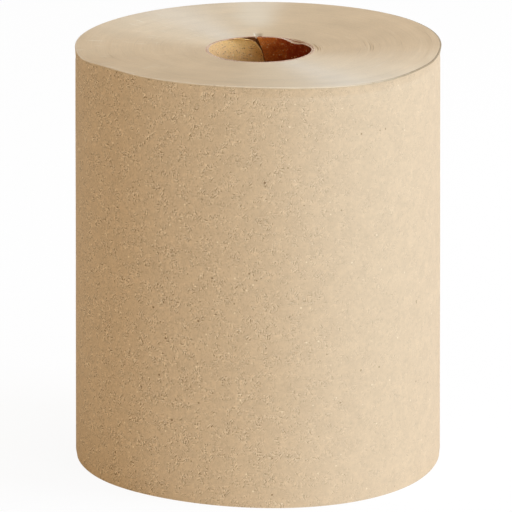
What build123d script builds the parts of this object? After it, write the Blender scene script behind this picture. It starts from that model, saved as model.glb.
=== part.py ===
from build123d import *
import os
from math import cos, radians, sin

# A hardwound paper towel roll standing on end: one long sheet wound tight on a spiral-wound
# cardboard core. Millimetres. The origin is on the core's axis at the bottom face, +Z runs up the
# core, and -Y is the side seen from the front.

# The wound paper
SHEET_WIDTH = 203.2  # width of the towel sheet, so the height of the standing roll
ROLL_RADIUS = 87.2  # mean radius of the wound paper
TAIL_STEP = 0.5  # how far the end of the last wrap stands off the wrap under it
TAIL_AZIMUTH = 70.0  # where the last wrap ends, degrees from +X, on the side away from the front
DISH_DEPTH = 2.2  # how far the turns next to the core sit below the top rim
DISH_LAND = 1.5  # flat rim left outside the dish, where the roll is narrowest

# The roll is slightly out of round, from lying in its case: (lobes, height, azimuth of a peak)
LOBES = [(2, 0.41, -45.0), (3, 1.45, 53.0), (4, 0.51, 22.5)]

# The turns show on both ends as one spiral band that stands a little back from the band beside it
BAND_PITCH = 12.5  # radial distance from one round of the sunk band to the next
BAND_WIDTH = 6.0  # width of the sunk band
BAND_DEPTH = 0.5  # how far it stands back
BAND_MARGIN = 3.0  # paper left plain beside the core and inside the outer wrap

# The cardboard core
CORE_BORE = 49.0  # inside diameter
CORE_WALL = 1.6  # three plies of board
SEAM_LEAD = 340.0  # how far the spiral seam of the inner ply climbs in one turn round the tube
SEAM_WIDTH = 0.8  # butt gap between neighbouring turns of the inner ply
SEAM_DEPTH = 0.2  # how deep the butt gap is
SEAM_AZIMUTH = 94.0  # where the seam meets the top of the core, degrees from +X
SEAM_RUN_OUT = 4.0  # how far the cut for the seam runs past both ends of the tube

# Arcs that draw one turn of a curve
OUTLINE_ARCS = 12
BAND_ARCS = 6

# Sizes that follow from the ones above
CORE_RADIUS = CORE_BORE / 2 + CORE_WALL
TOP_AT_CORE = SHEET_WIDTH - DISH_DEPTH
LOWEST_LOBE = sum(height for _, height, _ in LOBES)
LAND_RADIUS = ROLL_RADIUS - LOWEST_LOBE - TAIL_STEP / 2


def lobe(azimuth):
    """Height of the out-of-round lobes above the mean radius, at an azimuth in degrees."""
    return sum(high * cos(radians(count * (azimuth - peak))) for count, high, peak in LOBES)


def at(radius, azimuth):
    """A point in plan at a radius and an azimuth in degrees."""
    return (radius * cos(radians(azimuth)), radius * sin(radians(azimuth)))


def arcs_along(curve, count):
    """Arcs end to end along a curve, which gives a point for each share of its length."""
    return [ThreePointArc(*[curve((i + part) / count) for part in (0, 0.5, 1)]) for i in range(count)]


def wrap_outline():
    """Plan of the outer wrap, one turn round the roll that ends in the tail's step."""

    def edge(share):
        azimuth = TAIL_AZIMUTH + 360 * share
        return at(ROLL_RADIUS + TAIL_STEP * (share - 0.5) + lobe(azimuth), azimuth)

    wrap = arcs_along(edge, OUTLINE_ARCS)
    return make_face(wrap + [Line(wrap[-1] @ 1, wrap[0] @ 0)])


def turn_band():
    """Plan of the sunk band, which follows the winding from the core out to the last wrap."""
    start = CORE_RADIUS + BAND_MARGIN
    end = LAND_RADIUS - BAND_MARGIN - BAND_WIDTH
    turns = max(1, round((end - start) / BAND_PITCH))

    def side(width):
        def edge(share):
            azimuth = TAIL_AZIMUTH + 360 * turns * share
            # The turns are round on the core and take up the outer shape little by little
            return at(start + (end - start) * share + lobe(azimuth) * share**2 + width, azimuth)

        return arcs_along(edge, turns * BAND_ARCS)

    near, far = side(0), side(BAND_WIDTH)
    caps = [Line(near[0] @ 0, far[0] @ 0), Line(near[-1] @ 1, far[-1] @ 1)]
    return make_face(near + far + caps)


def above_dish(sink):
    """Round block of everything above the dished top end, moved down by sink."""
    reach = 2 * ROLL_RADIUS
    with BuildPart() as block:
        with BuildSketch(Plane.XZ):
            with BuildLine():
                Polyline(
                    (0, TOP_AT_CORE - sink),
                    (CORE_RADIUS, TOP_AT_CORE - sink),
                    (LAND_RADIUS - DISH_LAND, SHEET_WIDTH - sink),
                    (reach, SHEET_WIDTH - sink),
                    (reach, SHEET_WIDTH + DISH_DEPTH),
                    (0, SHEET_WIDTH + DISH_DEPTH),
                    close=True,
                )
            make_face()
        revolve(axis=Axis.Z)
    return block.part


def wound_paper():
    """The whole winding as one solid: outer wrap with its tail, dished top, turns on both ends."""
    roll = extrude(wrap_outline(), SHEET_WIDTH)
    roll -= Cylinder(CORE_RADIUS, 3 * SHEET_WIDTH)
    roll -= above_dish(0)
    band = turn_band()
    roll -= extrude(band, BAND_DEPTH)
    roll -= extrude(band, SHEET_WIDTH + DISH_DEPTH / 2) & above_dish(BAND_DEPTH)
    return roll


def core_tube():
    """The cardboard core, flush with the turns at both ends, with its inner ply's spiral seam."""
    tube = Cylinder(CORE_RADIUS, TOP_AT_CORE, align=(Align.CENTER, Align.CENTER, Align.MIN))
    tube -= Cylinder(CORE_BORE / 2, 3 * SHEET_WIDTH)
    path = Helix(SEAM_LEAD, TOP_AT_CORE + 2 * SEAM_RUN_OUT, CORE_BORE / 2)
    start = Plane(origin=path @ 0, z_dir=path % 0, x_dir=(1, 0, 0))
    gap = sweep(start * Rectangle(2 * SEAM_DEPTH, SEAM_WIDTH), path, is_frenet=True)
    # Turned so that the seam crosses the top end at its azimuth
    turned = SEAM_AZIMUTH - 360 * (TOP_AT_CORE + SEAM_RUN_OUT) / SEAM_LEAD
    return tube - Pos(0, 0, -SEAM_RUN_OUT) * Rot(0, 0, turned) * gap


os.makedirs("parts", exist_ok=True)
for name, make in {"wound_paper": wound_paper, "core_tube": core_tube}.items():
    shape = make()
    shape.label = name
    export_step(shape, f"parts/{name}.step")
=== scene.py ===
import logging
import math
from dataclasses import dataclass, field
from enum import Enum
from typing import Callable, Sequence, Union

import bmesh
import bpy
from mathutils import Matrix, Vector, noise


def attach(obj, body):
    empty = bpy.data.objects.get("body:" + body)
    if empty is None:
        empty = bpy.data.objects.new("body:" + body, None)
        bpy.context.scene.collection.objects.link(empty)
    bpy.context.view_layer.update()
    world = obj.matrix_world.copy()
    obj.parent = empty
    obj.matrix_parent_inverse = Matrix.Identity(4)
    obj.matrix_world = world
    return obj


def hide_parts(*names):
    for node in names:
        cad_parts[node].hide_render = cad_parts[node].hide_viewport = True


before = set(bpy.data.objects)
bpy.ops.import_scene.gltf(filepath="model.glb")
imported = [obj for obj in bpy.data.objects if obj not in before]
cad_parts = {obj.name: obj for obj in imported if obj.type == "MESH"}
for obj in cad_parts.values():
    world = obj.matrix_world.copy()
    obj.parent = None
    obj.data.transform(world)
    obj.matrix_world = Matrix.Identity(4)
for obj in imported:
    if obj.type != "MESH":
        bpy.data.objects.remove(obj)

# The looks of a hardwound paper towel roll: its wound turns, the last wrap of the sheet with its
# tail, the board plies of the core, and a corner of the inner ply that has come unglued.
# Metres, in the frame of the solids: +Z runs up the core and -Y is the side the camera sees.

LOG = logging.getLogger("paper_towel_roll")
MM = 0.001
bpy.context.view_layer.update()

TINY = 1e-6  # metres within which two places are the same
TOP_HALF = 0.1  # metres above which a place belongs to the top end

Object = bpy.types.Object
Material = bpy.types.Material
Face = bpy.types.MeshPolygon
Socket = bpy.types.NodeSocket
Value = Union[float, tuple, Socket]
Colour = tuple[float, float, float]
Span = tuple[float, float]
# A soft hump round the roll: azimuth of its middle, height, width, with both angles in degrees
Hump = tuple[float, float, float]
# A mark on the top end: radius, azimuth of its middle, half width, half span in degrees, strength
Mark = tuple[float, float, float, float, float]


def clamped(value: float) -> float:
    """The value held between 0 and 1."""
    return min(1.0, max(0.0, value))


def eased(value: float) -> float:
    """The value held between 0 and 1, with a soft start and a soft end."""
    held = clamped(value)
    return held * held * (3.0 - 2.0 * held)


def bell(value: float, width: float) -> float:
    """1 where the value is 0, falling softly to nothing a few widths away."""
    return math.exp(-((value / width) ** 2))


def turned_from(azimuth: float, degrees: float) -> float:
    """Signed angle in degrees from a direction in degrees to an azimuth in radians."""
    return (math.degrees(azimuth) - degrees + 180.0) % 360.0 - 180.0


def humped(azimuth: float, humps: Sequence[Hump]) -> float:
    """Height that soft humps round the roll add up to at an azimuth."""
    return sum(high * bell(turned_from(azimuth, middle), width) for middle, high, width in humps)


def polar(point: Vector) -> Span:
    """Radius and azimuth of a point."""
    return math.hypot(point.x, point.y), math.atan2(point.y, point.x)


def at(radius: float, azimuth: float, height: float) -> Vector:
    """The point at a radius, an azimuth and a height."""
    return Vector((radius * math.cos(azimuth), radius * math.sin(azimuth), height))


def noise_round(azimuth: float, pace: float, third: float) -> float:
    """Noise that closes on itself round the roll, quicker with a larger pace."""
    return noise.noise(at(pace, azimuth, third))


def graded(share: float, top: float, dense_share: float, dense_height: float) -> float:
    """Height of a row of a grid whose rows are closer together over a height under the top."""
    if share < dense_share:
        return (top - dense_height) * share / dense_share
    return top - dense_height * (1.0 - share) / (1.0 - dense_share)


class Direction(Enum):
    """Which way a paper pattern runs on its sheet."""

    ALONG = 0.0
    LEANING = 0.96
    ACROSS = math.pi / 2
    COUNTER = 2.27


@dataclass(frozen=True)
class RollPlan:
    """Plan and heights of the roll, as in the solids, and where the scene crushes its core."""

    height: float = 203.2 * MM
    mean_radius: float = 87.2 * MM
    tail_step: float = 0.5 * MM
    tail_azimuth: float = math.radians(70.0)
    dish_depth: float = 2.2 * MM
    dish_land: float = 1.5 * MM
    core_radius: float = 26.1 * MM
    bore_radius: float = 24.5 * MM
    seam_lead: float = 340.0 * MM
    seam_azimuth: float = 94.0
    lobes: tuple[tuple[int, float, float], ...] = (
        (2, 0.41 * MM, -45.0),
        (3, 1.45 * MM, 53.0),
        (4, 0.51 * MM, 22.5),
    )
    crushed_spots: tuple[Hump, ...] = ((47.0, 1.75 * MM, 12.0), (22.0, 0.6 * MM, 13.0))

    @property
    def core_top(self) -> float:
        """Height of the core and of the turns beside it."""
        return self.height - self.dish_depth

    @property
    def land_radius(self) -> float:
        """Radius at which the top end stops falling towards the core."""
        return self.mean_radius - sum(high for _, high, _ in self.lobes) - self.tail_step / 2 - self.dish_land

    def lobe(self, azimuth: float) -> float:
        """How far the roll stands out of round at an azimuth in radians."""
        return sum(high * math.cos(count * (azimuth - math.radians(peak))) for count, high, peak in self.lobes)

    def share(self, azimuth: float) -> float:
        """Share of the last wrap that lies between its start under the tail and an azimuth."""
        return ((azimuth - self.tail_azimuth) / math.tau) % 1.0

    def wrap_radius(self, share: float) -> float:
        """Outer radius of the last wrap at a share of its length."""
        azimuth = self.tail_azimuth + math.tau * share
        return self.mean_radius + self.tail_step * (share - 0.5) + self.lobe(azimuth)

    def crushed(self, azimuth: float) -> float:
        """How far the end of the core has been pressed down at the back right."""
        return humped(azimuth, self.crushed_spots)

    def dish(self, radius: float) -> float:
        """Height of the dished top end at a radius."""
        fall = clamped((self.land_radius - radius) / (self.land_radius - self.core_radius))
        return self.height - self.dish_depth * fall


@dataclass(frozen=True)
class LooseTurn:
    """A turn that has let go of the next one over part of its round.

    Attributes:
        radius: Radius of the opening.
        azimuth: Middle of the opening, degrees.
        span: Half of its length, degrees.
        width: Half of its width.
        depth: How deep it is at the middle.
        lip: Height of the lip beside it, as a share of the depth.
    """

    radius: float
    azimuth: float
    span: float
    width: float
    depth: float
    lip: float = 0.45

    def height(self, radius: float, azimuth: float) -> float:
        """Change of height that the opening and its raised lip make at a point."""
        along = turned_from(azimuth, self.azimuth) / self.span
        if abs(along) >= 1.0:
            return 0.0
        out = radius - self.radius
        shape = self.lip * bell(out + 1.6 * self.width, self.width) - bell(out, self.width)
        return self.depth * (1.0 - along * along) ** 1.5 * shape


@dataclass(frozen=True)
class RimShape:
    """How the outside departs from a straight wall with a flat, square top edge.

    Attributes:
        waves: Where the top edge is high or low.
        flare: How far the lip is pressed outwards.
        flare_swing: How much more so on the right, and less on the left.
        flare_reach: How far down the lip reaches.
        neck: How far the wall is drawn in under the lip, how far down, and over what height.
        lean_right: How far the wall is drawn in at the top on the right, and stands out at the foot.
        lean_left: The same on the left.
        length: Height of the wall.
        tucks: Where the foot is pressed in.
        tuck_height: How far up the foot is pressed in.
    """

    waves: tuple[Hump, ...] = (
        (-166.0, -1.3 * MM, 11.0),
        (-146.0, 0.5 * MM, 10.0),
        (-132.0, 0.75 * MM, 36.0),
        (-87.0, 1.5 * MM, 29.0),
        (-47.0, -0.6 * MM, 27.0),
        (-18.0, -0.75 * MM, 9.0),
    )
    flare: float = 0.38 * MM
    flare_swing: float = 0.2 * MM
    flare_reach: float = 4.4 * MM
    neck: tuple[float, float, float] = (0.13 * MM, 5.0 * MM, 1.2 * MM)
    lean_right: Span = (0.33 * MM, 0.68 * MM)
    lean_left: Span = (0.68 * MM, 0.15 * MM)
    length: float = 203.2 * MM
    tucks: tuple[Hump, ...] = ((-166.0, 1.1 * MM, 17.0), (-12.0, 0.6 * MM, 17.0))
    tuck_height: float = 3.9 * MM

    def wave(self, azimuth: float) -> float:
        """Height of the top edge above its plane."""
        return humped(azimuth, self.waves)

    def spread(self, below: float, azimuth: float) -> float:
        """How far the wall stands outwards, at a depth below the top."""
        pressed = clamped(1.0 - below / self.flare_reach) ** 1.6
        drawn, down, width = self.neck
        across = math.cos(azimuth)
        narrow, wide = self.lean_right if across > 0.0 else self.lean_left
        lean = across * across * ((narrow + wide) * clamped(below / self.length) - narrow)
        foot = clamped(1.0 - (self.length - below) / self.tuck_height)
        stands = (self.flare + self.flare_swing * across) * pressed - drawn * bell(below - down, width)
        return stands + lean - foot * humped(azimuth, self.tucks)


class Bench:
    """The modelling moves that the pieces share, each done with Blender's own operators."""

    @staticmethod
    def rest() -> None:
        """Leave edit mode and let go of everything."""
        active = bpy.context.view_layer.objects.active
        if active is not None and active.mode != "OBJECT":
            bpy.ops.object.mode_set(mode="OBJECT")
        bpy.ops.object.select_all(action="DESELECT")

    @staticmethod
    def take(obj: Object) -> None:
        """Select one object and make it the active one."""
        Bench.rest()
        obj.select_set(True)
        bpy.context.view_layer.objects.active = obj

    @staticmethod
    def named(name: str) -> Object:
        """Give the new active object and its data a name."""
        obj = bpy.context.active_object
        obj.name = obj.data.name = name
        return obj

    @staticmethod
    def draw_section(name: str, corners: Sequence[tuple[float, float]]) -> Object:
        """Draw a closed half-section by pulling one vertex from corner to corner.

        Args:
            name: Name of the new object.
            corners: Radius and height of each corner, in order.

        Returns:
            The object, in edit mode, with the section as a ring of edges.
        """
        Bench.rest()
        (start_x, start_z), *_ = corners
        bpy.ops.mesh.primitive_plane_add(size=MM, location=(start_x, 0.0, start_z))
        obj = Bench.named(name)
        bpy.ops.object.transform_apply(location=True, rotation=True, scale=True)
        bpy.ops.object.mode_set(mode="EDIT")
        bpy.ops.mesh.select_mode(type="VERT")
        bpy.ops.mesh.select_all(action="SELECT")
        bpy.ops.mesh.merge(type="CENTER")
        for (x, z), (next_x, next_z) in zip(corners, [*corners[1:], corners[0]]):
            bpy.ops.mesh.extrude_region_move(TRANSFORM_OT_translate={"value": (next_x - x, 0.0, next_z - z)})
        bpy.ops.mesh.select_all(action="SELECT")
        bpy.ops.mesh.remove_doubles(threshold=TINY)
        return obj

    @staticmethod
    def cut_edges(obj: Object, test: Callable[[Vector, Vector], bool], cuts: int) -> None:
        """Subdivide the edges of the mesh in hand whose two ends pass a test.

        Args:
            obj: Object in edit mode.
            test: Says from the places of its two ends whether an edge is meant.
            cuts: Number of cuts across each such edge.
        """
        bpy.ops.mesh.select_mode(type="EDGE")
        bpy.ops.mesh.select_all(action="DESELECT")
        mesh = bmesh.from_edit_mesh(obj.data)
        for edge in mesh.edges:
            edge.select_set(test(edge.verts[0].co, edge.verts[1].co))
        bmesh.update_edit_mesh(obj.data)
        bpy.ops.mesh.subdivide(number_cuts=cuts)

    @staticmethod
    def spin_closed(steps: int) -> None:
        """Spin the section in hand once round the core's axis, in steps, and close the seam."""
        bpy.ops.mesh.select_mode(type="VERT")
        bpy.ops.mesh.select_all(action="SELECT")
        axis = {"center": (0.0, 0.0, 0.0), "axis": (0.0, 0.0, 1.0)}
        bpy.ops.mesh.spin(steps=steps, dupli=False, angle=math.tau, **axis)
        bpy.ops.mesh.select_all(action="SELECT")
        bpy.ops.mesh.remove_doubles(threshold=2 * TINY)
        bpy.ops.mesh.normals_make_consistent(inside=False)
        bpy.ops.object.mode_set(mode="OBJECT")

    @staticmethod
    def lay_grid(name: str, columns: int, rows: int) -> Object:
        """Lay out a flat sheet, one metre each way, as a grid with its own UV map."""
        Bench.rest()
        bpy.ops.mesh.primitive_grid_add(x_subdivisions=columns, y_subdivisions=rows, size=1.0, calc_uvs=True)
        return Bench.named(name)

    @staticmethod
    def shape(obj: Object, move: Callable[[Vector], Vector]) -> None:
        """Move every vertex to where a shaping rule puts it."""
        for vertex in obj.data.vertices:
            vertex.co = move(vertex.co)
        obj.data.update()

    @staticmethod
    def thicken(obj: Object, thickness: float, outwards: bool) -> None:
        """Give a sheet its thickness, towards or away from its face side."""
        Bench.take(obj)
        wall = obj.modifiers.new("thickness", "SOLIDIFY")
        wall.thickness = thickness
        wall.offset = 1.0 if outwards else -1.0
        wall.use_even_offset = False
        bpy.ops.object.modifier_apply(modifier=wall.name)

    @staticmethod
    def mark(obj: Object, name: str, value: Callable[[Vector], float]) -> None:
        """Note a value for every vertex, worked out from where it is now."""
        marks = obj.data.attributes.new(name, "FLOAT", "POINT").data
        for vertex, mark in zip(obj.data.vertices, marks):
            mark.value = value(vertex.co)

    @staticmethod
    def unroll(obj: Object, layer: bpy.types.MeshUVLoopLayer, flat: Callable[[Vector], Span]) -> None:
        """Fill a UV map from where every vertex is now."""
        for loop in obj.data.loops:
            layer.data[loop.index].uv = flat(obj.data.vertices[loop.vertex_index].co)

    @staticmethod
    def dress(obj: Object, finishes: Sequence[Material], choose: Callable[[Face], int]) -> None:
        """Give the object its finishes and each face the one that is chosen for it."""
        obj.data.materials.clear()
        for finish in finishes:
            obj.data.materials.append(finish)
        for face in obj.data.polygons:
            face.material_index = choose(face)

    @staticmethod
    def hand_over(obj: Object, crisp: float, node: str, slot: str) -> None:
        """Shade the piece smooth and let it stand for a CAD node.

        Args:
            obj: The piece.
            crisp: Angle in degrees above which an edge stays crisp.
            node: Name of the CAD node.
            slot: Slot of the record that its finish belongs to; not used.
        """
        Bench.take(obj)
        bpy.ops.object.shade_smooth_by_angle(angle=math.radians(crisp))
        Bench.rest()
        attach(obj, "root")
        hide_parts(node)
        LOG.info("%s: %d faces", obj.name, len(obj.data.polygons))


class Recipe:
    """The nodes of one material or world, added and joined one after another."""

    def __init__(self, owner: Union[Material, bpy.types.World]) -> None:
        """Start with no nodes in the owner."""
        self.owner = owner
        owner.use_nodes = True
        self.tree = owner.node_tree
        self.tree.nodes.clear()

    def feed(self, socket: Socket, value: Value) -> None:
        """Join a socket to another node's output, or set it to a constant or a colour."""
        if isinstance(value, Socket):
            self.tree.links.new(value, socket)
        else:
            socket.default_value = (*value, 1.0) if socket.type == "RGBA" else value

    def add(self, kind: str, inputs: dict[Union[str, int], Value], **settings: object) -> bpy.types.Node:
        """Add a node.

        Args:
            kind: Blender's name for the node type.
            inputs: Value or socket for each input that isn't left as it is.
            **settings: The node's own settings.

        Returns:
            The new node.
        """
        node = self.tree.nodes.new(kind)
        for name, setting in settings.items():
            setattr(node, name, setting)
        for key, value in inputs.items():
            self.feed(node.inputs[key], value)
        return node

    def maths(self, operation: str, first: Value, second: Value = 0.0) -> Socket:
        """Result of one sum."""
        return self.add("ShaderNodeMath", {0: first, 1: second}, operation=operation).outputs[0]

    def times(self, first: Value, second: Value) -> Socket:
        """Product of two values."""
        return self.maths("MULTIPLY", first, second)

    def plus(self, first: Value, second: Value) -> Socket:
        """Sum of two values."""
        return self.maths("ADD", first, second)

    def apart(self, first: Value, second: Value) -> Socket:
        """Distance between two values."""
        return self.maths("ABSOLUTE", self.maths("SUBTRACT", first, second))

    def vector_maths(self, operation: str, first: Value, second: Value = (0.0, 0.0, 0.0)) -> Socket:
        """Result of one sum on vectors."""
        return self.add("ShaderNodeVectorMath", {0: first, 1: second}, operation=operation).outputs[0]

    def shifted(self, place: Value, shift: Value) -> Socket:
        """A place moved by a shift."""
        return self.vector_maths("ADD", place, shift)

    def place(self) -> Socket:
        """Object coordinates."""
        return self.add("ShaderNodeTexCoord", {}).outputs["Object"]

    def axis(self, place: Socket, name: str) -> Socket:
        """One axis of a place."""
        return self.add("ShaderNodeSeparateXYZ", {0: place}).outputs[name]

    def noted(self, name: str) -> Socket:
        """Value that the vertices were marked with under a name."""
        settings = {"attribute_name": name, "attribute_type": "GEOMETRY"}
        return self.add("ShaderNodeAttribute", {}, **settings).outputs["Fac"]

    def fade(self, value: Value, low: float, high: float) -> Socket:
        """0 at the low value and 1 at the high one, with a soft change between them."""
        inputs = {"Value": value, "From Min": low, "From Max": high}
        return self.add("ShaderNodeMapRange", inputs, interpolation_type="SMOOTHSTEP").outputs[0]

    def spread(self, value: Value, low: float, high: float, source: Span = (0.0, 1.0)) -> Socket:
        """A value carried over from a source range to another range."""
        inputs = {"Value": value, "From Min": source[0], "From Max": source[1], "To Min": low, "To Max": high}
        return self.add("ShaderNodeMapRange", inputs).outputs[0]

    def cloud(
        self, place: Value, size: float, detail: float = 2.0, rough: float = 0.6, warp: float = 0.0
    ) -> Socket:
        """Noise whose lumps have about a given size in metres."""
        look = {"Detail": detail, "Roughness": rough, "Distortion": warp}
        return self.add("ShaderNodeTexNoise", {"Vector": place, "Scale": 1.0 / size, **look}).outputs[0]

    def stretched(self, place: Value, size: Span, turn: float = 0.0, shift: float = 0.0) -> Socket:
        """Noise drawn out into strokes of a length and a width, moved, and turned by an angle."""
        length, width = size
        placing = {"Vector": place, "Rotation": (0.0, 0.0, turn), "Location": (shift, shift, 0.0)}
        turned = self.add("ShaderNodeMapping", placing).outputs[0]
        drawing = {"Vector": turned, "Scale": (1.0 / length, 1.0 / width, 1.0 / width)}
        return self.cloud(self.add("ShaderNodeMapping", drawing).outputs[0], 1.0, 1.0, 0.5)

    def specks(self, place: Value, apart: float, size: float, kept: float) -> Socket:
        """Scattered specks.

        Args:
            place: Where the pattern is read.
            apart: Mean distance between neighbours, metres.
            size: Radius of the largest, metres.
            kept: Share of the places that have one.

        Returns:
            1 inside a speck and 0 outside.
        """
        cells = self.add("ShaderNodeTexVoronoi", {"Vector": place, "Scale": 1.0 / apart}, feature="F1")
        chance = self.add("ShaderNodeSeparateColor", {0: cells.outputs["Color"]})
        radius = self.maths("MULTIPLY", chance.outputs[1], size / apart)
        rim = self.maths("SUBTRACT", radius, cells.outputs["Distance"])
        inside = self.fade(rim, -0.25 * size / apart, 0.2 * size / apart)
        present = self.maths("LESS_THAN", chance.outputs[0], kept)
        return self.maths("MULTIPLY", inside, present)

    def blend(self, factor: Value, first: Value, second: Value, mode: str = "MIX") -> Socket:
        """Two colours mixed by a factor."""
        mix = self.add("ShaderNodeMix", {0: factor, 6: first, 7: second}, data_type="RGBA", blend_type=mode)
        return mix.outputs[2]

    def shaded(self, colour: Value, parts: Sequence[tuple[Socket, float]]) -> Socket:
        """A colour made lighter and darker by patterns.

        Args:
            colour: The even colour.
            parts: Each pattern, 0 to 1, and how much it changes the colour either way.

        Returns:
            The uneven colour.
        """
        total: Value = 1.0
        for pattern, amount in parts:
            total = self.maths("ADD", total, self.spread(pattern, -amount, amount))
        return self.blend(1.0, colour, total, "MULTIPLY")

    def bump(self, height: Value, depth: float, strength: float) -> Socket:
        """Normals that follow a fine relief of a depth in metres."""
        inputs = {"Height": height, "Distance": depth, "Strength": strength}
        return self.add("ShaderNodeBump", inputs).outputs[0]

    def finish(self, inputs: dict[Union[str, int], Value]) -> Material:
        """Close the material with a Principled shader and return it."""
        shader = self.add("ShaderNodeBsdfPrincipled", inputs)
        self.add("ShaderNodeOutputMaterial", {"Surface": shader.outputs[0]})
        return self.owner


@dataclass(frozen=True)
class TowelPaper:
    """Unbleached crepe towel seen on its flat side, with fibres, bark specks and pale flecks.

    Attributes:
        base: Colour of the sheet.
        bark: Colour of dark fibres and specks.
        pale: Colour of pale ones.
        sides: Across the roll, where the texture is painted strongest, on the shaded left, and where it is
            painted faintest, on the lit right.
        texture_by_light_range: How strong the texture is painted at each, as painted light and shade.
        fibre: Length and width of a short fibre.
        crepe: Length and width of the creping.
        roughness: How matt the sheet is.
    """

    base: Colour = (0.66, 0.52, 0.36)
    bark: Colour = (0.17, 0.080, 0.012)
    pale: Colour = (0.97, 0.86, 0.69)
    sides: Span = (-0.085, 0.045)
    texture_by_light_range: Span = (1.28, 0.19)
    fibre: Span = (2.6 * MM, 0.46 * MM)
    crepe: Span = (0.7 * MM, 5.0 * MM)
    roughness: float = 0.72

    def make(self) -> Material:
        """Build the material on the sheet's own UV map, which is in metres."""
        recipe = Recipe(bpy.data.materials.new("towel_paper"))
        sheet = recipe.add("ShaderNodeUVMap", {}, uv_map="UVMap").outputs[0]
        formation = recipe.cloud(sheet, 9.0 * MM, 3.0)
        mottle = recipe.cloud(sheet, 2.2 * MM, 3.0, 0.6, 0.4)
        grain = recipe.cloud(sheet, 0.5 * MM)
        # Painted light and shade: the texture is painted faint on the lit right of the roll and strong on the
        # shaded left
        texture_by_light = recipe.spread(recipe.axis(recipe.place(), "X"), *self.texture_by_light_range, self.sides)
        thick = recipe.cloud(recipe.shifted(sheet, (0.9, 0.2, 0.0)), 6.0 * MM)
        clusters = recipe.times(recipe.spread(recipe.fade(thick, 0.42, 0.6), 0.25, 1.15), texture_by_light)
        plain = recipe.shaded(self.base, [(formation, 0.12), (mottle, 0.10), (grain, 0.06)])
        rough = recipe.shaded(self.base, [(formation, 0.12), (mottle, 0.42), (grain, 0.20)])
        colour = recipe.blend(clusters, plain, rough)
        # Each fibre in the crepe has its pale ridge beside its dark hollow
        for number, way in enumerate(Direction):
            for tone, amount, beside in ((self.bark, 0.95, 0.0), (self.pale, 0.7, 0.5 * MM)):
                stroke = recipe.stretched(sheet, self.fibre, way.value, 0.37 * number + beside)
                seen = recipe.times(recipe.fade(stroke, 0.65, 0.70), clusters)
                colour = recipe.blend(recipe.times(seen, amount), colour, tone)
        # Long fibres show as fine crooked lines
        for size, shift, tone, amount in ((2.1 * MM, 0.3, self.bark, 0.42), (1.7 * MM, 0.6, self.pale, 0.5)):
            winding = recipe.cloud(recipe.shifted(sheet, (shift, shift, 0.0)), size, 1.0, 0.5, 0.6)
            off = recipe.apart(winding, 0.5)
            seen = recipe.times(recipe.fade(off, 0.032, 0.008), recipe.fade(mottle, 0.44, 0.58))
            seen = recipe.times(seen, clusters)
            colour = recipe.blend(recipe.times(seen, amount), colour, tone)
        flecks = recipe.specks(recipe.shifted(sheet, (0.4, 0.7, 0.0)), 2.8 * MM, 0.46 * MM, 0.22)
        # Fewer pale flecks on the lit right, as painted light
        flecks = recipe.times(flecks, recipe.spread(texture_by_light, 0.4, 0.8))
        colour = recipe.blend(flecks, colour, self.pale)
        uneven = recipe.add("ShaderNodeTexNoise", {"Vector": sheet, "Scale": 1.0 / (0.5 * MM), "Detail": 1.0})
        nudge = recipe.vector_maths("MULTIPLY", uneven.outputs[1], (0.6 * MM, 0.6 * MM, 0.0))
        bark = recipe.specks(recipe.shifted(sheet, nudge), 3.6 * MM, 0.56 * MM, 0.14)
        # Fewer bark specks on the lit right, as painted light
        bark = recipe.times(bark, recipe.spread(texture_by_light, 0.4, 0.85))
        colour = recipe.blend(bark, colour, self.bark)
        crepe = recipe.stretched(sheet, self.crepe)
        relief = recipe.plus(recipe.times(crepe, 0.8), mottle)
        relief = recipe.plus(relief, recipe.times(grain, 0.6))
        return recipe.finish(
            {
                "Base Color": colour,
                "Roughness": self.roughness,
                "Specular IOR Level": 0.35,
                "Sheen Weight": 0.12,
                "Sheen Roughness": 0.5,
                "Normal": recipe.bump(relief, 0.09 * MM, 0.35),
            }
        )


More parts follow.
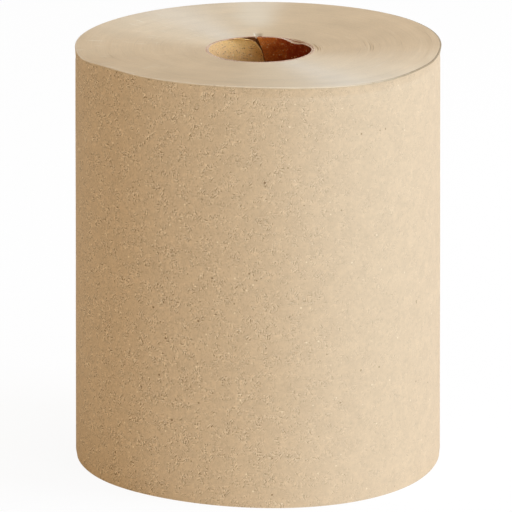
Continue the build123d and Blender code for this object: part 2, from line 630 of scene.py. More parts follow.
@dataclass(frozen=True)
class CutTurns:
    """The cut edges of the turns: fine lines that run round with the winding.

    Attributes:
        base: Colour of the cut turns.
        pale: Colour of pulled fibres, and of the painted highlight in the wedge.
        deep: Colour of the painted shade in the gaps and partings between turns, and in the shade spot.
        gloss: Colour of the sheen on the cut.
        wedge: Azimuths in degrees between which the cut is painted paler, as a painted highlight.
        wedge_edges: From the first of them, where its right side starts and is full, and its left side is.
        wedge_reach: Radii at which it starts and is full.
        gaps: Open gaps between turns, painted dark as shade.
        nick: Torn pale line behind the core.
        shade_spot: Matt spot beside it, painted darker as shade.
        roughness: How soft the sheen is.
        anisotropy: How far the sheen is drawn out across the turns.
    """

    base: Colour = (0.71, 0.545, 0.358)
    pale: Colour = (0.84, 0.73, 0.57)
    deep: Colour = (0.40, 0.28, 0.16)
    gloss: Colour = (0.72, 0.90, 0.93)
    wedge: Span = (86.5, 106.0)
    wedge_edges: tuple[float, float, float] = (-0.16, 0.05, 0.08)
    wedge_reach: Span = (34.0 * MM, 55.0 * MM)
    gaps: tuple[Mark, ...] = (
        (27.3 * MM, 8.0, 0.34 * MM, 22.0, 0.75),
        (28.5 * MM, 4.0, 0.30 * MM, 16.0, 0.6),
        (29.9 * MM, 9.0, 0.30 * MM, 12.0, 0.45),
        (52.8 * MM, 3.0, 0.42 * MM, 13.0, 0.75),
        (54.2 * MM, -1.0, 0.38 * MM, 9.0, 0.6),
        (50.6 * MM, 8.0, 0.36 * MM, 9.0, 0.5),
    )
    nick: Mark = (28.8 * MM, 95.4, 4.8 * MM, 1.1, 0.9)
    shade_spot: Mark = (28.4 * MM, 91.2, 4.6 * MM, 5.2, 0.85)
    roughness: float = 0.46
    anisotropy: float = 0.85

    def make(self) -> Material:
        """Build the material on the radius at which each turn was laid and the way it runs."""
        recipe = Recipe(bpy.data.materials.new("cut_turns"))
        place = recipe.place()
        laid = recipe.noted("laid")
        heading = recipe.vector_maths("NORMALIZE", recipe.vector_maths("MULTIPLY", place, (1.0, 1.0, 0.0)))
        axes = recipe.add("ShaderNodeSeparateXYZ", {0: heading}).outputs

        def lines(width: float, rounds: float, detail: float = 1.0) -> Socket:
            """Streaks along the turns, of a width in metres and a number of lengths to a radian."""
            along = [recipe.times(axis, rounds) for axis in (axes[0], axes[1])]
            spot = {0: along[0], 1: along[1], 2: recipe.times(laid, 1.0 / width)}
            return recipe.cloud(recipe.add("ShaderNodeCombineXYZ", spot).outputs[0], 1.0, detail, 0.55)

        fine = lines(0.5 * MM, 5.0, 2.0)
        turns = lines(1.7 * MM, 1.6)
        broad = lines(9.0 * MM, 0.7)
        fibre = recipe.cloud(place, 0.7 * MM)
        patch = recipe.cloud(place, 16.0 * MM, 2.0, 0.5)
        uneven = [(fine, 0.08), (turns, 0.05), (broad, 0.05), (fibre, 0.13), (patch, 0.11)]
        colour = recipe.shaded(self.base, uneven)
        pulled = recipe.fade(lines(0.55 * MM, 3.2), 0.68, 0.8)
        colour = recipe.blend(recipe.times(pulled, 0.45), colour, self.pale)
        # Scratches cross the turns on the left
        scratched = recipe.fade(lines(9.0 * MM, 75.0, 0.0), 0.72, 0.8)
        scratched = recipe.times(scratched, recipe.fade(recipe.times(axes[0], -1.0), 0.3, 0.9))
        colour = recipe.blend(recipe.times(scratched, 0.7), colour, self.pale)
        # Painted highlight: behind the core the ends of the sheet are painted paler in a narrow wedge, where
        # the sheen on the turns falls
        turn = recipe.maths("ARCTAN2", axes[1], axes[0])
        strayed = recipe.plus(turn, recipe.spread(patch, -0.06, 0.06))
        near, far = (math.radians(azimuth) for azimuth in self.wedge)
        start, full, left_full = (near + angle for angle in self.wedge_edges)
        wedge = recipe.times(recipe.fade(strayed, start, full), recipe.fade(strayed, far, left_full))
        top_end = recipe.maths("GREATER_THAN", recipe.axis(place, "Z"), TOP_HALF)
        wedge = recipe.times(wedge, recipe.times(recipe.fade(laid, *self.wedge_reach), top_end))
        colour = recipe.blend(recipe.times(wedge, 0.7), colour, self.pale)
        # Fine partings between turns, darkened as painted shade
        parted = recipe.fade(lines(0.45 * MM, 2.4, 0.0), 0.76, 0.86)
        colour = recipe.blend(recipe.times(parted, 0.4), colour, self.deep)

        def marked(mark: Mark) -> Socket:
            """How far a mark on the top end shows."""
            radius, azimuth, half_width, half_span, strength = mark
            off = recipe.fade(recipe.apart(laid, radius), half_width, 0.2 * half_width)
            aside = recipe.apart(turn, math.radians(azimuth))
            aside = recipe.fade(aside, math.radians(half_span), math.radians(0.3 * half_span))
            return recipe.times(recipe.times(off, aside), recipe.times(top_end, strength))

        # Painted shade in the open gaps between turns
        for gap in self.gaps:
            colour = recipe.blend(marked(gap), colour, self.deep)
        # Painted shade: a darker spot beside the nick, which is also rougher
        shade_spot = marked(self.shade_spot)
        colour = recipe.blend(shade_spot, colour, self.deep)
        colour = recipe.blend(marked(self.nick), colour, self.pale)
        relief = recipe.plus(recipe.times(fine, 0.6), turns)
        relief = recipe.plus(relief, recipe.times(fibre, 0.3))
        return recipe.finish(
            {
                "Base Color": colour,
                "Roughness": recipe.spread(shade_spot, self.roughness, 0.85),
                "IOR": 2.0,
                "Specular IOR Level": 0.8,
                "Specular Tint": self.gloss,
                "Anisotropic": self.anisotropy,
                "Anisotropic Rotation": 0.25,
                "Tangent": recipe.add("ShaderNodeTangent", {}, direction_type="RADIAL", axis="Z").outputs[0],
                "Normal": recipe.bump(relief, 0.08 * MM, 0.5),
            }
        )


@dataclass(frozen=True)
class CutLip:
    """The fuzzy outermost edge of the cut: pale from its fuzz and as a painted highlight along the rim, with
    painted shade in its gaps and on the right, where the crevice under it is.
    """

    # The pale base is partly a painted highlight along the rim
    base: Colour = (0.72, 0.60, 0.44)
    # Colours of the painted shade in the gaps and on the right
    deep: Colour = (0.42, 0.29, 0.17)
    gap: Colour = (0.26, 0.19, 0.11)
    roughness: float = 0.8

    def make(self) -> Material:
        """Build the material on object coordinates."""
        recipe = Recipe(bpy.data.materials.new("cut_lip"))
        place = recipe.place()
        grain = recipe.cloud(place, 0.6 * MM)
        runs = recipe.cloud(place, 5.0 * MM, 2.0, 0.5)
        colour = recipe.shaded(self.base, [(grain, 0.14), (runs, 0.10)])
        # Painted shade in gaps along the lip
        gaps = recipe.fade(recipe.cloud(place, 2.6 * MM), 0.6, 0.72)
        colour = recipe.blend(recipe.times(gaps, 0.35), colour, self.deep)
        # Painted shade on the right, where the crevice under the lip is
        wavering = recipe.plus(recipe.axis(place, "X"), recipe.spread(runs, -0.012, 0.012))
        right_side_shade = recipe.times(recipe.fade(wavering, 0.035, 0.082), 0.8)
        colour = recipe.blend(right_side_shade, colour, self.gap)
        return recipe.finish(
            {
                "Base Color": colour,
                "Roughness": self.roughness,
                "Specular IOR Level": 0.3,
                "Normal": recipe.bump(grain, 0.08 * MM, 0.5),
            }
        )


@dataclass(frozen=True)
class CoreBoard:
    """Raw board of the core's plies, with chips and fibres in it, and painted light and shade along the
    lining's strip.

    Attributes:
        name: Name of the material.
        base: Colour of the board.
        far: Painted shade that it changes to along its strip, dark on the side of the bore away from the
            light, or the same.
        pale: Colour of the pale chips.
        dark: Colour of the dark ones.
        seamward: Colour near the strip's far edge, at the seam, where the painted shade is lighter.
        flap: Painted light near its free edge, on the loose corner that curls away from the light.
        painted_shade_colour: Painted shade deeper down the bore and at its far right.
        length: How long the tube is, so that the painted shade deepens from both its ends.
        fibre: Length and width of a fibre.
        roughness: How matt it is.
    """

    name: str
    base: Colour
    far: Colour
    pale: Colour
    dark: Colour
    seamward: Colour = (0.70, 0.22, 0.035)
    flap: Colour = (1.0, 0.60, 0.20)
    painted_shade_colour: Colour = (0.14, 0.04, 0.012)
    length: float = 201.0 * MM
    fibre: Span = (1.9 * MM, 0.5 * MM)
    roughness: float = 0.8

    def make(self) -> Material:
        """Build the material on object coordinates and the way along the strip."""
        recipe = Recipe(bpy.data.materials.new(self.name))
        place = recipe.place()
        mottle = recipe.cloud(place, 2.6 * MM, 3.0)
        grain = recipe.cloud(place, 0.6 * MM)
        base: Value = self.base
        if self.far != self.base:
            # Painted light and shade across the bore: pale where the light falls, dark brown round the side
            # away from it, lighter again at the seam, painted light on the loose corner, and painted shade
            # deeper down and at the far right
            wavering = recipe.plus(recipe.noted("strip"), recipe.spread(mottle, -0.1, 0.1))
            base = recipe.blend(recipe.fade(wavering, 0.3, 0.72), base, self.far)
            seamward = recipe.times(recipe.fade(wavering, 0.86, 1.04), 0.8)
            base = recipe.blend(seamward, base, self.seamward)
            base = recipe.blend(recipe.fade(wavering, 0.16, 0.0), base, self.flap)
            height = recipe.axis(place, "Z")
            depth = recipe.maths("MINIMUM", height, recipe.maths("SUBTRACT", self.length, height))
            deeper = recipe.times(recipe.fade(depth, 7.0 * MM, 13.0 * MM), 0.2)
            deeper = recipe.plus(deeper, recipe.times(recipe.fade(depth, 11.0 * MM, 13.4 * MM), 0.6))
            far_right_shade = recipe.times(recipe.fade(wavering, 0.86, 0.76), recipe.fade(wavering, 0.6, 0.7))
            painted_shade = recipe.maths("MAXIMUM", deeper, recipe.times(far_right_shade, 0.55))
            base = recipe.blend(painted_shade, base, self.painted_shade_colour)
        colour = recipe.shaded(base, [(mottle, 0.24), (grain, 0.34)])
        chips = recipe.specks(place, 1.5 * MM, 0.46 * MM, 0.5)
        colour = recipe.blend(recipe.times(chips, 0.8), colour, self.pale, "SCREEN")
        moved = recipe.shifted(place, (0.31, 0.17, 0.53))
        bark = recipe.specks(moved, 1.4 * MM, 0.42 * MM, 0.36)
        clusters = recipe.fade(mottle, 0.48, 0.56)
        for tone, amount, beside in ((self.pale, 0.7, 0.4 * MM), (self.dark, 0.8, 0.0)):
            for turn in (0.0, 0.9):
                stroke = recipe.stretched(moved, self.fibre, turn, beside)
                seen = recipe.times(recipe.fade(stroke, 0.62, 0.70), clusters)
                colour = recipe.blend(recipe.times(seen, amount), colour, tone)
        colour = recipe.blend(recipe.times(bark, 0.7), colour, self.dark)
        return recipe.finish(
            {
                "Base Color": colour,
                "Roughness": self.roughness,
                "Specular IOR Level": 0.1,
                "Normal": recipe.bump(recipe.plus(mottle, grain), 0.1 * MM, 0.4),
            }
        )


@dataclass
class WoundTurns:
    """Everything that is wound under the last wrap, from the core out.

    Attributes:
        plan: Plan and heights of the roll.
        rim: Shape of the wall and its top edge.
        around: Steps round the axis.
        under_wrap: How far the wall lies inside the mean radius, to leave room for the wrap.
        lip_height: Height of the lip that stands over the wrap.
        band_start: Distance from the core at which the sunk band starts.
        band_pitch: Distance from one round of it to the next.
        band_width: Its width.
        band_sink: Its depth.
        band_edge: Width of its soft edges.
        loose: Turns that have let go of their neighbours on the top end.
        crease_azimuth: Where the fold behind the core is, degrees.
        crease_length: How far out it reaches.
    """

    plan: RollPlan
    rim: RimShape
    around: int = 480
    under_wrap: float = 0.24 * MM
    lip_height: float = 0.62 * MM
    band_start: float = 3.0 * MM
    band_pitch: float = 12.5 * MM
    band_width: float = 6.0 * MM
    band_sink: float = 0.06 * MM
    band_edge: float = 1.4 * MM
    loose: tuple[LooseTurn, ...] = (
        LooseTurn(27.35 * MM, 8.0, 24.0, 0.26 * MM, 0.42 * MM),
        LooseTurn(28.55 * MM, 4.0, 17.0, 0.24 * MM, 0.30 * MM),
        LooseTurn(52.8 * MM, 3.0, 15.0, 0.38 * MM, 0.24 * MM),
        LooseTurn(50.4 * MM, 7.0, 10.0, 0.38 * MM, 0.16 * MM),
    )
    crease_azimuth: float = 95.6
    crease_length: float = 12.0 * MM

    def section(self) -> Object:
        """Draw the half-section, with rings close together where the eye is and near the core."""
        plan = self.plan
        wall = plan.mean_radius - self.under_wrap
        lip = plan.mean_radius + 0.05 * MM
        top = plan.height
        near_core = plan.core_radius + 6.0 * MM
        corners = [
            (plan.core_radius, 0.0),
            (wall - 0.3 * MM, 0.0),
            (wall, 0.3 * MM),
            (wall, top - 12.0 * MM),
            (wall, top - self.lip_height - 0.12 * MM),
            (lip, top - self.lip_height),
            (lip, top - 0.32 * MM),
            (lip - 0.1 * MM, top - 0.15 * MM),
            (lip - 0.35 * MM, top - 0.04 * MM),
            (lip - 0.8 * MM, top),
            (near_core, top),
            (plan.core_radius, top),
        ]
        obj = Bench.draw_section("winding_turns", corners)

        def between(low: float, high: float, height: float) -> Callable[[Vector, Vector], bool]:
            """Test for an edge of the section at a height, between two radii."""

            def test(a: Vector, b: Vector) -> bool:
                level = abs(a.z - height) < 0.1 * TINY and abs(b.z - height) < 0.1 * TINY
                return level and low - TINY < min(a.x, b.x) and max(a.x, b.x) < high + TINY

            return test

        Bench.cut_edges(obj, between(near_core, lip, top), 78)
        Bench.cut_edges(obj, between(plan.core_radius, near_core, top), 22)
        Bench.cut_edges(obj, between(plan.core_radius, wall, 0.0), 34)
        Bench.cut_edges(obj, lambda a, b: min(a.x, b.x) > wall - TINY and abs(a.z - b.z) > 0.1, 12)
        Bench.cut_edges(obj, lambda a, b: min(a.x, b.x) > wall - TINY and 0.011 < abs(a.z - b.z) < 0.013, 14)
        return obj

    def relief(self, radius: float, azimuth: float) -> float:
        """Height of the turns above or below the plane of an end."""
        fine = 0.010 * MM * noise_round(azimuth, 2.2, radius / (1.6 * MM))
        wide = 0.035 * MM * noise_round(azimuth, 0.8, radius / (7.0 * MM) + 9.0)
        started, soft = radius - self.plan.core_radius - self.band_start, self.band_edge
        across = ((started / self.band_pitch - self.plan.share(azimuth)) % 1.0) * self.band_pitch
        sunk = eased(across / soft) * eased((self.band_width - across) / soft)
        inside = eased(started / soft) * eased((self.plan.land_radius - radius) / soft)
        return fine + wide - self.band_sink * sunk * inside

    def crease(self, radius: float, azimuth: float) -> float:
        """Height of the fold where the sheet starts on the core, with its hollow beside it."""
        along = (radius - self.plan.core_radius) / self.crease_length
        if not 0.0 <= along < 1.0:
            return 0.0
        sideways = math.radians(turned_from(azimuth, self.crease_azimuth)) * radius
        ridge = 0.09 * MM * bell(sideways, 0.3 * MM) * clamped(1.0 - along / 0.45)
        hollow = 0.30 * MM * bell(sideways + 2.0 * MM, 1.4 * MM) * (1.0 - along) ** 1.3
        return ridge - hollow

    def place(self, point: Vector) -> Vector:
        """Where a vertex of the plain spun shape belongs on the real one."""
        plan = self.plan
        radius, azimuth = polar(point)
        out = clamped((radius - plan.core_radius) / (plan.mean_radius - plan.core_radius))
        share = plan.share(azimuth)
        # Under the tail the turns lie lower, to leave room for the start of the wrap
        held = share - eased((share - 0.9) / 0.1) * share
        below = plan.height - point.z
        at_rim = plan.tail_step * (held - 0.5) + self.rim.spread(below, azimuth)
        moved = radius + plan.lobe(azimuth) * out**2 + at_rim * out**12
        height = point.z
        rise = self.rim.wave(azimuth) * out**2
        if below < 2.0 * MM:
            height += plan.dish(radius) - plan.height + rise
            height += self.relief(radius, azimuth) * (1.0 - out**30)
            height += sum(turn.height(radius, azimuth) for turn in self.loose)
            height += self.crease(radius, azimuth)
        elif point.z < 0.1 * MM:
            height += max(0.0, 0.08 * MM + self.relief(radius, -azimuth)) * (1.0 - out**30)
        else:
            height += rise * (point.z / plan.height) ** 4
        return at(moved, azimuth, height)

    def build(self, ends: Material, lip: Material, wall: Material) -> None:
        """Spin, shape and dress the winding.

        Args:
            ends: Finish of the cut ends.
            lip: Finish of the outermost cut edge.
            wall: Finish of the wall under the last wrap.
        """
        obj = self.section()
        Bench.spin_closed(self.around)
        edge = self.plan.mean_radius - 0.85 * MM

        def choose(face: Face) -> int:
            """Finish of a face from its place on the plain spun shape."""
            radius = polar(face.center)[0]
            if face.center.z > self.plan.height - self.lip_height - 0.2 * MM and radius > edge:
                return 1
            return 0 if abs(face.normal.z) > 0.5 else 2

        Bench.dress(obj, [ends, lip, wall], choose)
        Bench.mark(obj, "laid", lambda co: polar(co)[0])
        layer = obj.data.uv_layers.new(name="UVMap")
        Bench.unroll(obj, layer, lambda co: (polar(co)[1] * self.plan.mean_radius, co.z))
        Bench.shape(obj, self.place)
        Bench.hand_over(obj, 50.0, "wound_paper", "kraft_tissue")


@dataclass
class LastWrap:
    """The last turn of the sheet, which is the wall of the roll, with its start under its tail.

    Attributes:
        plan: Plan and heights of the roll.
        rim: Shape of the wall and its top edge.
        lap: Share of a turn that lies under the tail.
        thickness: Thickness of the sheet.
        stops_short: How far below the top end its edge is.
        columns: Steps of the grid round the roll.
        rows: Steps up the roll.
        dense: Share of the rows above which they are closer together, and over what height.
        slack: How far the sheet wanders in and out.
        tail_lift: How far the end of the tail stands off.
        fray: How uneven the top edge is.
    """

    plan: RollPlan
    rim: RimShape
    lap: float = 0.045
    thickness: float = 0.16 * MM
    stops_short: float = 0.72 * MM
    columns: int = 430
    rows: int = 66
    dense: Span = (0.76, 8.0 * MM)
    slack: float = 0.09 * MM
    tail_lift: float = 0.12 * MM
    fray: float = 0.12 * MM

    def height_at(self, flat: float) -> float:
        """Height at which a row of the flat sheet lies."""
        return graded(flat + 0.5, self.plan.height - self.stops_short, *self.dense)

    def place(self, point: Vector) -> Vector:
        """Where a vertex of the flat sheet lies once it is wrapped round the roll."""
        plan = self.plan
        share = (point.x + 0.5) * (1.0 + self.lap) - self.lap
        azimuth = plan.tail_azimuth + math.tau * share
        height = self.height_at(point.y)
        radius = plan.wrap_radius(share) + self.rim.spread(plan.height - height, azimuth)
        radius += self.slack * noise_round(azimuth, 1.3, height / 0.07)
        radius += self.tail_lift * eased((share - 0.985) / 0.015)
        rise = self.rim.wave(azimuth) * (height / plan.height) ** 4
        frayed = self.fray * noise.noise(Vector((azimuth * 14.0, 0.0, 4.0))) * eased((height - 0.15) / 0.05)
        return at(radius, azimuth, height + rise + frayed)

    def build(self, paper: Material) -> None:
        """Wrap, thicken and dress the sheet.

        Args:
            paper: Finish of the towel's flat side.
        """
        obj = Bench.lay_grid("last_wrap", self.columns, self.rows)
        length = math.tau * self.plan.mean_radius * (1.0 + self.lap)
        layer = obj.data.uv_layers["UVMap"]
        Bench.unroll(obj, layer, lambda flat: ((flat.x + 0.5) * length, self.height_at(flat.y)))
        Bench.shape(obj, self.place)
        Bench.thicken(obj, self.thickness, outwards=False)
        Bench.dress(obj, [paper], lambda face: 0)
        Bench.hand_over(obj, 50.0, "wound_paper", "kraft_tissue")


@dataclass
class CorePlies:
    """The outer and the middle ply of the core, with their cut ends.

    Attributes:
        plan: Plan and heights of the roll.
        inner_ply: Room left for the inner ply.
        around: Steps round the axis.
        shade_azimuth: Where the cut is painted dark as shade beside the nick, degrees.
        shade_span: Half of its length, degrees.
    """

    plan: RollPlan
    inner_ply: float = 0.34 * MM
    around: int = 360
    shade_azimuth: float = 90.6
    shade_span: float = 2.4

    def place(self, point: Vector) -> Vector:
        """Where a vertex of the plain tube belongs: the cut ends are a little uneven."""
        radius, azimuth = polar(point)
        height = point.z
        if height > self.plan.core_top - 1.0 * MM:
            uneven = noise_round(azimuth, 3.0, radius / (0.5 * MM))
            seam = bell(turned_from(azimuth, self.plan.seam_azimuth), 1.3)
            out = clamped((radius - self.plan.bore_radius - self.inner_ply) / (1.1 * MM))
            crushed = self.plan.crushed(azimuth) * (1.0 - 0.85 * out)
            height += 0.12 * MM * uneven - 0.9 * MM * seam - crushed
        return at(radius, azimuth, height)

    def build(self, board: Material, cut: Material, glued: Material) -> None:
        """Spin, shape and dress the two plies.

        Args:
            board: Finish of the flat side of the board.
            cut: Finish of its cut end.
            glued: Finish of the face that the inner ply was glued to, painted dark as shade where it shows
                behind the inner ply.
        """
        plan = self.plan
        inside = plan.bore_radius + self.inner_ply
        middle = (inside + plan.core_radius) / 2
        top = plan.core_top
        groove = 0.06 * MM
        corners = [
            (inside, 0.05 * MM),
            (middle - groove, 0.0),
            (middle, 0.2 * MM),
            (middle + groove, 0.0),
            (plan.core_radius, 0.0),
            (plan.core_radius, top),
            (middle + groove, top + 0.05 * MM),
            (middle, top - 0.22 * MM),
            (middle - groove, top),
            (inside, top - 0.05 * MM),
        ]
        obj = Bench.draw_section("core_plies", corners)
        Bench.cut_edges(obj, lambda a, b: abs(a.z - b.z) < 0.1 * MM and abs(a.x - b.x) > 0.4 * MM, 2)
        Bench.cut_edges(obj, lambda a, b: abs(a.z - b.z) > 0.1, 24)
        Bench.spin_closed(self.around)
        inner = inside + 0.05 * MM

        def choose(face: Face) -> int:
            """Cut ends, with painted shade on the cut beside the nick, the glued face that shows behind the
            inner ply, or the outside.
            """
            radius, azimuth = polar(face.center)
            # Painted shade on the cut end beside the nick, in the glued finish
            if abs(face.normal.z) > 0.3:
                painted_shade = abs(turned_from(azimuth, self.shade_azimuth)) < self.shade_span
                return 2 if painted_shade and face.center.z > TOP_HALF else 1
            return 2 if radius < inner else 0

        Bench.dress(obj, [board, cut, glued], choose)
        Bench.shape(obj, self.place)
        Bench.hand_over(obj, 45.0, "core_tube", "core_board")


@dataclass
class InnerPly:
    """The innermost ply, one strip with a spiral butt seam, whose corner has come unglued.

    Attributes:
        plan: Plan and heights of the roll.
        thickness: Thickness of the ply.
        seam_gap: Width of the butt gap near the top.
        columns: Steps of the grid round the bore.
        rows: Steps up it.
        dense: Share of the rows above which they are closer together, and over what height.
        lift: How far the loose corner stands into the bore.
        lift_depth: How far down it is loose.
        lift_span: How far round, degrees.
        unevenness: How uneven the cut is.
        waviness: How uneven the board is.
    """

    plan: RollPlan
    thickness: float = 0.32 * MM
    seam_gap: float = 0.25 * MM
    columns: int = 300
    rows: int = 92
    dense: Span = (0.42, 30.0 * MM)
    lift: float = 1.25 * MM
    lift_depth: float = 8.0 * MM
    lift_span: float = 28.0
    unevenness: float = 0.1 * MM
    waviness: float = 0.03 * MM

    def seam(self, depth: float) -> float:
        """Azimuth of the seam in degrees at a depth below the top."""
        return self.plan.seam_azimuth - 360.0 * depth / self.plan.seam_lead

    def corner(self, depth: float) -> float:
        """How far the loose corner has curled away from the seam, in degrees."""
        return 14.0 * math.exp(-depth / (0.6 * MM)) + 3.9 * clamped(1.0 - depth / (6.8 * MM)) ** 1.1

    def drawn(self, depth: float) -> float:
        """How far the seam itself wanders from its spiral below the corner, in degrees."""
        jagged = 0.35 * noise.noise(Vector((depth / (1.1 * MM), 3.0, 0.0)))
        return 3.6 * bell(depth - 13.0 * MM, 5.0 * MM) + jagged

    def place(self, point: Vector) -> Vector:
        """Where a vertex of the flat strip lies in the bore."""
        plan = self.plan
        depth = plan.core_top - graded(point.y + 0.5, plan.core_top, *self.dense)
        # The gap is wider round the bore than square to the seam
        slant = math.hypot(1.0, math.tau * plan.bore_radius / plan.seam_lead)
        gap = math.degrees(self.seam_gap / plan.bore_radius) * slant
        gap *= 1.0 - 0.6 * clamped((depth - 5.0 * MM) / (4.0 * MM))
        first = self.seam(depth) + gap / 2 + self.corner(depth) + self.drawn(depth)
        last = self.seam(depth) + 360.0 - gap / 2 + 0.85 * self.drawn(depth)
        degrees = first + (last - first) * (point.x + 0.5)
        azimuth = math.radians(degrees)
        away = degrees - first
        peeled = clamped(1.0 - away / self.lift_span) ** 2 * bell(depth, self.lift_depth)
        curl = 0.35 * MM * bell(away, 5.0) * bell(depth - 4.0 * MM, 5.0 * MM)
        radius = plan.bore_radius - self.lift * peeled - curl
        # The strip's end is pressed in at the back right, with a small torn fold below it
        radius -= 0.4 * MM * bell(turned_from(azimuth, 44.5), 1.3) * bell(depth - 1.4 * MM, 1.5 * MM)
        pressed = plan.crushed(azimuth) + self.unevenness * noise_round(azimuth, 4.0, 2.0)
        height = plan.core_top - depth - pressed * bell(depth, 3.0 * MM) - 0.35 * MM * peeled
        radius += self.waviness * noise_round(azimuth, radius * 60.0, height * 40.0)
        return at(radius, azimuth, max(0.0, height))

    def build(self, board: Material, cut: Material, edge: Material, glued: Material) -> None:
        """Roll up, thicken and dress the strip.

        Args:
            board: Finish of the flat side of the board.
            cut: Finish of its cut end.
            edge: Finish of the edges along the seam, painted darker as shade.
            glued: Finish of the glued side, painted dark as shade.
        """
        obj = Bench.lay_grid("inner_ply", self.columns, self.rows)
        Bench.mark(obj, "strip", lambda flat: flat.x + 0.5)
        Bench.shape(obj, self.place)
        Bench.thicken(obj, self.thickness, outwards=True)

        def choose(face: Face) -> int:
            """Cut end, seam edge, glued side, or the side that faces the bore."""
            radius = polar(face.center)[0]
            if abs(face.normal.z) > 0.6:
                return 1 if radius > self.plan.bore_radius - 0.1 * MM else 2
            facing = -(face.normal.x * face.center.x + face.normal.y * face.center.y) / radius
            return 0 if facing > 0.5 else 2 if facing > -0.5 else 3

        Bench.dress(obj, [board, cut, edge, glued], choose)
        Bench.hand_over(obj, 45.0, "core_tube", "core_board")


@dataclass(frozen=True)
class PhotoView:
    """The camera, level with the photograph's viewing angle, looking along +Y."""

    distance: float = 4.004
    elevation: float = math.radians(15.42)
    lens: float = 588.15
    sensor: float = 36.0
    aim: tuple[float, float, float] = (-1.93 * MM, 0.0, 99.11 * MM)

    def place(self) -> None:
        """Add the camera and make it the scene's own."""
        ahead = Vector((0.0, math.cos(self.elevation), -math.sin(self.elevation)))
        stand = Vector(self.aim) - ahead * self.distance
        Bench.rest()
        bpy.ops.object.camera_add(location=stand, rotation=(math.pi / 2 - self.elevation, 0.0, 0.0))
        camera = Bench.named("photo_camera")
        camera.data.lens = self.lens
        camera.data.sensor_width = self.sensor
        camera.data.clip_start = 0.1
        camera.data.clip_end = 100.0
        bpy.context.scene.camera = camera


@dataclass(frozen=True)
class SoftLamp:
    """A soft panel lamp that faces the middle of the roll.

    Attributes:
        name: Name of the lamp.
        azimuth: Where it hangs, degrees from +X.
        elevation: How high it hangs, degrees.
        level: Light that it gives a surface facing it, where 1 shows a colour as it is written.
        size: Width and height of the panel.
        colour: Colour of its light.
        distance: Distance from the roll.
    """

    name: str
    azimuth: float
    elevation: float
    level: float
    size: tuple[float, float]
    colour: Colour
    distance: float = 4.5

    def hang(self) -> None:
        """Hang the lamp and turn it to the roll."""
        elevation = math.radians(self.elevation)
        away = at(math.cos(elevation), math.radians(self.azimuth), math.sin(elevation))
        Bench.rest()
        bpy.ops.object.light_add(type="AREA", location=Vector((0.0, 0.0, 0.1)) + away * self.distance)
        lamp = Bench.named(self.name)
        lamp.rotation_euler = (-away).to_track_quat("-Z", "Y").to_euler()
        lamp.data.shape = "RECTANGLE"
        lamp.data.size, lamp.data.size_y = self.size
        lamp.data.color = self.colour
        lamp.data.energy = self.level * (math.pi * self.distance) ** 2


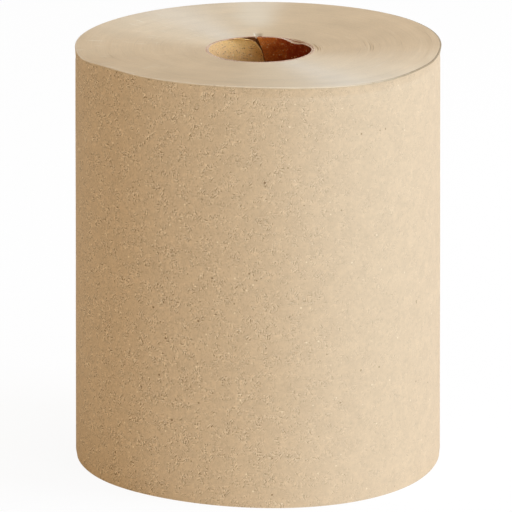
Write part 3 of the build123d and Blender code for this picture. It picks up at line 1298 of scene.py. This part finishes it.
@dataclass
class Studio:
    """Plain pale floor, even surroundings and soft lamps, the strongest on the right.

    Attributes:
        floor_reach: How far the floor reaches each way.
        flat_reach: How far out it is flat.
        floor_rise: How high it rises beyond that.
        floor_bounce: Colour that it reflects, out of the camera's sight.
        floor_glow: Colour that it gives off there.
        floor_shown: Colour that it reflects where the camera sees it.
        glow_share: Share of the glow in the floor, out of sight and in sight.
        white: Colour that the camera sees in the glow and in the surroundings.
        fill: Colour of the surroundings, out of the camera's sight.
        lamps: The lamps.
    """

    floor_reach: float = 12.0
    flat_reach: float = 9.0
    floor_rise: float = 0.6
    floor_bounce: Colour = (0.85, 0.72, 0.56)
    floor_glow: Colour = (0.95, 0.74, 0.48)
    floor_shown: Colour = (0.96, 0.96, 0.96)
    glow_share: Span = (0.25, 0.93)
    white: Colour = (1.0, 1.0, 1.0)
    fill: Colour = (0.29, 0.215, 0.142)
    lamps: tuple[SoftLamp, ...] = (
        SoftLamp("side_key", -12.0, 46.0, 0.53, (1.8, 1.8), (0.79, 0.995, 1.30)),
        SoftLamp("front_panel", -46.0, 8.0, 0.41, (1.2, 0.9), (0.795, 0.985, 1.13)),
        SoftLamp("back_panel", 50.0, 42.0, 0.25, (0.82, 0.55), (1.04, 0.99, 0.94), 1.0),
        SoftLamp("top_board", -52.0, 80.0, 0.20, (1.8, 1.8), (1.0, 0.97, 0.90)),
        SoftLamp("bounce_board", -140.0, 4.0, 0.125, (3.0, 0.5), (1.0, 0.86, 0.62)),
    )

    def lay_floor(self) -> None:
        """Lay a wide floor that rises softly far out and is near white only to the camera."""
        Bench.rest()
        bpy.ops.mesh.primitive_grid_add(x_subdivisions=24, y_subdivisions=24, size=2 * self.floor_reach)
        floor = Bench.named("floor")

        def move(point: Vector) -> Vector:
            """Raise the floor gently far out, as a paper backdrop does."""
            far = clamped((polar(point)[0] - self.flat_reach) / (self.floor_reach - self.flat_reach))
            return Vector((point.x, point.y, self.floor_rise * far * far))

        Bench.shape(floor, move)
        recipe = Recipe(bpy.data.materials.new("pale_floor"))
        seen = recipe.add("ShaderNodeLightPath", {}).outputs["Is Camera Ray"]
        colour = recipe.blend(seen, self.floor_bounce, self.floor_shown)
        matt = recipe.add("ShaderNodeBsdfDiffuse", {"Color": colour})
        lit = recipe.blend(seen, self.floor_glow, self.white)
        glow = recipe.add("ShaderNodeEmission", {"Color": lit, "Strength": 1.0})
        share = recipe.spread(seen, *self.glow_share)
        mix = recipe.add("ShaderNodeMixShader", {0: share, 1: matt.outputs[0], 2: glow.outputs[0]})
        recipe.add("ShaderNodeOutputMaterial", {"Surface": mix.outputs[0]})
        floor.data.materials.append(recipe.owner)

    def light_world(self) -> None:
        """Even fill light all round, white where the camera sees it."""
        recipe = Recipe(bpy.data.worlds.new("surroundings"))
        bpy.context.scene.world = recipe.owner
        seen = recipe.add("ShaderNodeLightPath", {}).outputs["Is Camera Ray"]
        background = recipe.add("ShaderNodeBackground", {"Color": recipe.blend(seen, self.fill, self.white)})
        recipe.add("ShaderNodeOutputWorld", {"Surface": background.outputs[0]})

    def set_up(self) -> None:
        """Set up the floor, the surroundings, the lamps and the plain view transform."""
        self.lay_floor()
        self.light_world()
        for lamp in self.lamps:
            lamp.hang()
        bpy.context.scene.view_settings.view_transform = "Standard"


@dataclass
class TowelRoll:
    """The whole roll: its turns, the last wrap, and the plies of the core."""

    plan: RollPlan = field(default_factory=RollPlan)
    rim: RimShape = field(default_factory=RimShape)

    def build(self) -> None:
        """Make the finishes, then the pieces from the core out."""
        # The lining runs from liner, painted light on the lit side of the bore, to brown, painted shade on the
        # side away from the light
        brown, liner = (0.35, 0.046, 0.011), (0.93, 0.585, 0.27)
        chip, bark = (0.66, 0.46, 0.24), (0.28, 0.08, 0.02)
        board = CoreBoard("core_board_outer", brown, brown, chip, bark).make()
        lining = CoreBoard("core_board_lining", liner, brown, chip, bark).make()
        # The seam edges of the inner ply are painted darker as shade, so that they don't show as lit lines
        raw, seam_edge_shade = (0.70, 0.53, 0.39), (0.50, 0.25, 0.09)
        cut_board = CoreBoard("core_board_cut", raw, raw, (0.30, 0.26, 0.22), (0.42, 0.25, 0.15)).make()
        seam_edge_board = CoreBoard("core_board_torn", seam_edge_shade, seam_edge_shade, chip, bark).make()
        # The glued faces are painted dark as shade, where they show in the crevice behind the loose corner
        crevice_shade = (0.16, 0.050, 0.009)
        glued = CoreBoard("core_board_glued", crevice_shade, crevice_shade, (0.2, 0.09, 0.04), (0.06, 0.02, 0.008)).make()
        paper = TowelPaper().make()
        CorePlies(self.plan).build(board, cut_board, glued)
        InnerPly(self.plan).build(lining, cut_board, seam_edge_board, glued)
        WoundTurns(self.plan, self.rim).build(CutTurns().make(), CutLip().make(), paper)
        LastWrap(self.plan, self.rim).build(paper)


def main() -> None:
    """Set the camera, build the roll, then light it."""
    logging.basicConfig(level=logging.INFO, format="%(name)s: %(message)s")
    PhotoView().place()
    TowelRoll().build()
    Studio().set_up()


if __name__ == "__main__":
    main()
